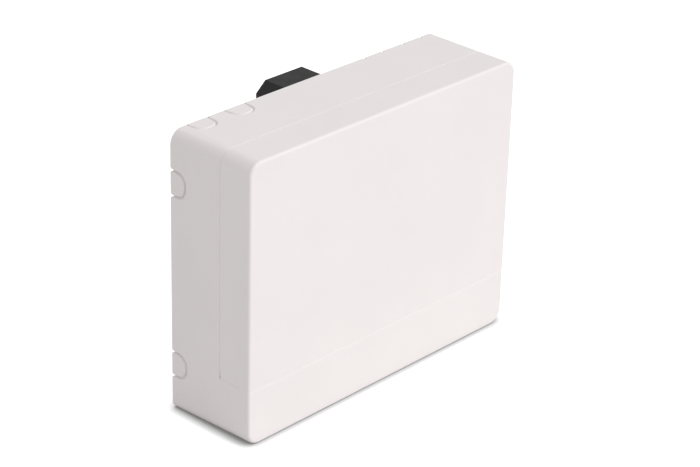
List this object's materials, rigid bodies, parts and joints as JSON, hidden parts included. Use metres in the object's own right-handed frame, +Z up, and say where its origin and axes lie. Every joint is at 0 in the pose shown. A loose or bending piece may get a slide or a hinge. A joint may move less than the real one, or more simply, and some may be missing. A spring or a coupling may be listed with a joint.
{
  "type": "din rail fibre box",
  "caption": "Flat moulded box for splicing and patching optical fibre, with a fold-down front cover, a connector row along its lower edge and a sprung clip for a top-hat rail.",
  "frame": {"origin": "centre of the footprint of the whole part, on the plane of its bottom face", "axes": "+Z up along the height, +Y to the rear, out of the rail seat, +X to the right seen from the front"},
  "size_m": [0.125, 0.049, 0.1],
  "materials": {
    "white_shell": "fine moulded satin texture",
    "black_nylon": "moulded satin nylon",
    "tray_plastic": "moulded satin",
    "clear_lid": "clear and glossy",
    "comb_rubber": "soft matt",
    "adapter_blue": "moulded satin",
    "insert_ivory": "moulded satin",
    "ceramic": "ground and polished ceramic",
    "cap_plastic": "soft moulded, slightly milky",
    "zinc_steel": "bright zinc plate",
    "spring_steel": "drawn wire"
  },
  "bodies": {
    "housing": {"adapter_1": "adapter_blue", "adapter_2": "adapter_blue", "adapter_3": "adapter_blue", "adapter_4": "adapter_blue", "adapter_insert_1": "insert_ivory", "adapter_insert_2": "insert_ivory", "adapter_insert_3": "insert_ivory", "adapter_insert_4": "insert_ivory", "alignment_sleeve_1": "ceramic", "alignment_sleeve_2": "ceramic", "alignment_sleeve_3": "ceramic", "alignment_sleeve_4": "ceramic", "bracket_screws": "zinc_steel", "cable_clamp_left": "tray_plastic", "cable_clamp_right": "tray_plastic", "clamp_screws": "zinc_steel", "inner_cap_1": "cap_plastic", "inner_cap_2": "cap_plastic", "inner_cap_3": "cap_plastic", "inner_cap_4": "cap_plastic", "latch_spring": "spring_steel", "port_cap_1": "cap_plastic", "port_cap_2": "cap_plastic", "port_cap_3": "cap_plastic", "port_cap_4": "cap_plastic", "rail_bracket": "black_nylon", "rear_housing": "white_shell", "splice_comb": "comb_rubber", "splice_tray": "tray_plastic", "tray_lid": "clear_lid", "tray_screws": "zinc_steel"},
    "cover": {"front_cover": "white_shell"},
    "latch": {"rail_latch": "black_nylon"}
  },
  "joints": [
    {"name": "cover_hinge", "type": "hinge", "parent": "housing", "child": "cover", "pos_m": [0, -0.0223, 0.0243], "axis": [1, 0, 0], "range_deg": [0, 100]},
    {"name": "latch_slide", "type": "slide", "parent": "housing", "child": "latch", "axis": [0, 0, 1], "range_m": [0, 0.004], "stiffness_N_per_m": 800, "springref_m": -0.003, "deforming": ["latch_spring"]}
  ]
}
